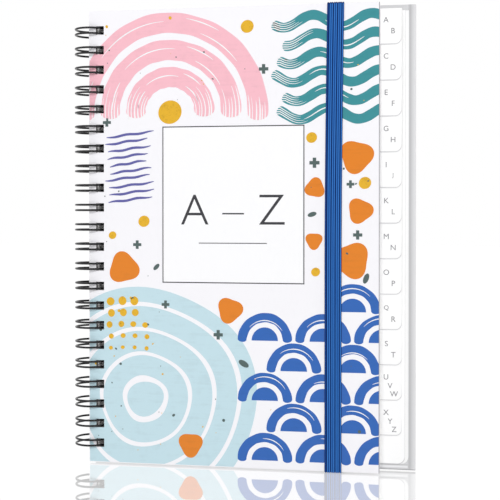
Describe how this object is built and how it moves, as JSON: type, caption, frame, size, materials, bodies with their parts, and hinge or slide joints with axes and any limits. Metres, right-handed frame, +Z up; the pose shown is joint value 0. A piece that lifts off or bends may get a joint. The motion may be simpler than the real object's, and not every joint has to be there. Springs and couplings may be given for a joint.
{
  "type": "address book",
  "caption": "Twin-wire bound hardcover address book with a staircase-cut letter index along its fore-edge and an elastic band that holds it shut.",
  "frame": {"origin": "middle of the book's box, at the surface that it stands on", "axes": "+X from the spine to the fore-edge, +Y from the front cover to the back cover, +Z up the spine"},
  "size_m": [0.1474, 0.0152, 0.1957],
  "materials": {
    "greyboard": "matt",
    "printed_wrap": "satin laminate",
    "back_wrap": "satin laminate",
    "lining_paper": "matt",
    "writing_paper": "matt",
    "end_paper": "matt",
    "black_wire": "semi-gloss",
    "blue_elastic": "ribbed knit"
  },
  "bodies": {
    "back_cover": {"back_cover_board": "greyboard", "back_cover_wrap": "back_wrap", "back_cover_lining": "lining_paper", "twin_wire": "black_wire", "elastic_band": "blue_elastic"},
    "front_cover": {"front_cover_board": "greyboard", "front_cover_wrap": "printed_wrap", "front_cover_lining": "lining_paper"},
    "leaves_ab": {"leaves_ab": "writing_paper"},
    "leaves_cd": {"leaves_cd": "writing_paper"},
    "leaves_ef": {"leaves_ef": "writing_paper"},
    "leaves_gh": {"leaves_gh": "writing_paper"},
    "leaves_ij": {"leaves_ij": "writing_paper"},
    "leaves_kl": {"leaves_kl": "writing_paper"},
    "leaves_mn": {"leaves_mn": "writing_paper"},
    "leaves_op": {"leaves_op": "writing_paper"},
    "leaves_qr": {"leaves_qr": "writing_paper"},
    "leaves_st": {"leaves_st": "writing_paper"},
    "leaves_uvw": {"leaves_uvw": "writing_paper"},
    "leaves_xyz": {"leaves_xyz": "writing_paper"},
    "leaves_notes": {"leaves_notes": "writing_paper"},
    "end_leaf": {"end_leaf": "end_paper"}
  },
  "joints": [
    {"name": "front_cover_swing", "type": "hinge", "parent": "back_cover", "child": "front_cover", "pos_m": [-0.06611, 0.00003, 0.0979], "axis": [0, 0, -1], "range_deg": [0, 180], "deforming": ["elastic_band"]},
    {"name": "leaves_ab_turn", "type": "hinge", "parent": "back_cover", "child": "leaves_ab", "pos_m": [-0.06611, 0.00003, 0.0979], "axis": [0, 0, -1], "range_deg": [0, 180]},
    {"name": "leaves_cd_turn", "type": "hinge", "parent": "back_cover", "child": "leaves_cd", "pos_m": [-0.06611, 0.00003, 0.0979], "axis": [0, 0, -1], "range_deg": [0, 180]},
    {"name": "leaves_ef_turn", "type": "hinge", "parent": "back_cover", "child": "leaves_ef", "pos_m": [-0.06611, 0.00003, 0.0979], "axis": [0, 0, -1], "range_deg": [0, 180]},
    {"name": "leaves_gh_turn", "type": "hinge", "parent": "back_cover", "child": "leaves_gh", "pos_m": [-0.06611, 0.00003, 0.0979], "axis": [0, 0, -1], "range_deg": [0, 180]},
    {"name": "leaves_ij_turn", "type": "hinge", "parent": "back_cover", "child": "leaves_ij", "pos_m": [-0.06611, 0.00003, 0.0979], "axis": [0, 0, -1], "range_deg": [0, 180]},
    {"name": "leaves_kl_turn", "type": "hinge", "parent": "back_cover", "child": "leaves_kl", "pos_m": [-0.06611, 0.00003, 0.0979], "axis": [0, 0, -1], "range_deg": [0, 180]},
    {"name": "leaves_mn_turn", "type": "hinge", "parent": "back_cover", "child": "leaves_mn", "pos_m": [-0.06611, 0.00003, 0.0979], "axis": [0, 0, -1], "range_deg": [0, 180]},
    {"name": "leaves_op_turn", "type": "hinge", "parent": "back_cover", "child": "leaves_op", "pos_m": [-0.06611, 0.00003, 0.0979], "axis": [0, 0, -1], "range_deg": [0, 180]},
    {"name": "leaves_qr_turn", "type": "hinge", "parent": "back_cover", "child": "leaves_qr", "pos_m": [-0.06611, 0.00003, 0.0979], "axis": [0, 0, -1], "range_deg": [0, 180]},
    {"name": "leaves_st_turn", "type": "hinge", "parent": "back_cover", "child": "leaves_st", "pos_m": [-0.06611, 0.00003, 0.0979], "axis": [0, 0, -1], "range_deg": [0, 180]},
    {"name": "leaves_uvw_turn", "type": "hinge", "parent": "back_cover", "child": "leaves_uvw", "pos_m": [-0.06611, 0.00003, 0.0979], "axis": [0, 0, -1], "range_deg": [0, 180]},
    {"name": "leaves_xyz_turn", "type": "hinge", "parent": "back_cover", "child": "leaves_xyz", "pos_m": [-0.06611, 0.00003, 0.0979], "axis": [0, 0, -1], "range_deg": [0, 180]},
    {"name": "leaves_notes_turn", "type": "hinge", "parent": "back_cover", "child": "leaves_notes", "pos_m": [-0.06611, 0.00003, 0.0979], "axis": [0, 0, -1], "range_deg": [0, 180]},
    {"name": "end_leaf_turn", "type": "hinge", "parent": "back_cover", "child": "end_leaf", "pos_m": [-0.06611, 0.00003, 0.0979], "axis": [0, 0, -1], "range_deg": [0, 180]}
  ],
  "couplings": [
    {"joint": "leaves_ab_turn", "follows": "front_cover_swing", "ratio": 0.93333},
    {"joint": "leaves_cd_turn", "follows": "front_cover_swing", "ratio": 0.86667},
    {"joint": "leaves_ef_turn", "follows": "front_cover_swing", "ratio": 0.8},
    {"joint": "leaves_gh_turn", "follows": "front_cover_swing", "ratio": 0.73333},
    {"joint": "leaves_ij_turn", "follows": "front_cover_swing", "ratio": 0.66667},
    {"joint": "leaves_kl_turn", "follows": "front_cover_swing", "ratio": 0.6},
    {"joint": "leaves_mn_turn", "follows": "front_cover_swing", "ratio": 0.53333},
    {"joint": "leaves_op_turn", "follows": "front_cover_swing", "ratio": 0.46667},
    {"joint": "leaves_qr_turn", "follows": "front_cover_swing", "ratio": 0.4},
    {"joint": "leaves_st_turn", "follows": "front_cover_swing", "ratio": 0.33333},
    {"joint": "leaves_uvw_turn", "follows": "front_cover_swing", "ratio": 0.26667},
    {"joint": "leaves_xyz_turn", "follows": "front_cover_swing", "ratio": 0.2},
    {"joint": "leaves_notes_turn", "follows": "front_cover_swing", "ratio": 0.13333},
    {"joint": "end_leaf_turn", "follows": "front_cover_swing", "ratio": 0.066667}
  ]
}
